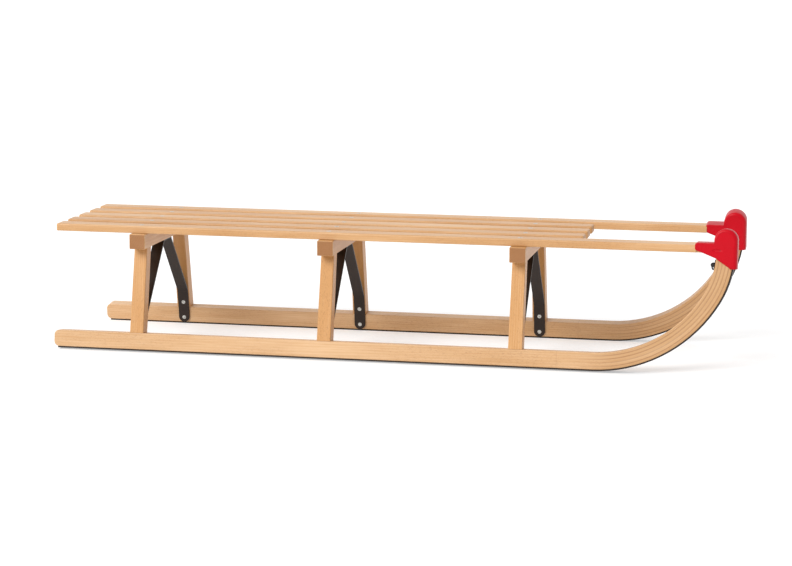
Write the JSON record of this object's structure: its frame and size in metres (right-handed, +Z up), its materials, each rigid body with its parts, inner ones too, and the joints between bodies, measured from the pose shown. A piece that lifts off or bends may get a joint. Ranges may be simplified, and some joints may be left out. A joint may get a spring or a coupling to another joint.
{
  "type": "wooden toboggan",
  "caption": "Slatted wooden toboggan on bent beech runners with steel soles, splayed legs braced by flat steel struts, and red plastic caps on the horns.",
  "frame": {"origin": "on the ground under the middle of the toboggan's bounding box", "axes": "+X from the tail to the horns, +Y to the rider's left, +Z up"},
  "size_m": [1.2, 0.321, 0.2502],
  "materials": {
    "runner_beech": "clear lacquered beech",
    "veneer_beech": "glued beech veneer, darker at the glue lines",
    "slat_beech": "clear lacquered beech",
    "trestle_beech": "clear lacquered beech",
    "black_steel": "black stoved enamel on flat steel",
    "zinc_screw": "bright zinc plate",
    "black_screw": "black zinc plate",
    "red_plastic": "moulded, satin gloss",
    "black_clip": "moulded nylon",
    "black_cord": "braided polyester"
  },
  "bodies": {
    "root": {"cap_screws": "black_screw", "centre_slat": "slat_beech", "cord": "black_cord", "front_crossbar": "trestle_beech", "front_left_leg": "trestle_beech", "front_right_leg": "trestle_beech", "front_strut": "black_steel", "horn_screws": "zinc_screw", "left_bend_veneers": "veneer_beech", "left_cord_knot": "black_cord", "left_cord_saddle": "black_clip", "left_horn_cap": "red_plastic", "left_inner_slat": "slat_beech", "left_outer_slat": "slat_beech", "left_runner": "runner_beech", "left_sole_screws": "zinc_screw", "left_sole_strip": "black_steel", "middle_crossbar": "trestle_beech", "middle_left_leg": "trestle_beech", "middle_right_leg": "trestle_beech", "middle_strut": "black_steel", "rear_crossbar": "trestle_beech", "rear_left_leg": "trestle_beech", "rear_right_leg": "trestle_beech", "rear_strut": "black_steel", "right_bend_veneers": "veneer_beech", "right_cord_knot": "black_cord", "right_cord_saddle": "black_clip", "right_horn_cap": "red_plastic", "right_inner_slat": "slat_beech", "right_outer_slat": "slat_beech", "right_runner": "runner_beech", "right_sole_screws": "zinc_screw", "right_sole_strip": "black_steel", "saddle_screws": "black_screw", "slat_screws": "zinc_screw", "strut_crossbar_screws": "zinc_screw", "strut_leg_screws": "zinc_screw", "strut_runner_screws": "zinc_screw"}
  },
  "joints": []
}
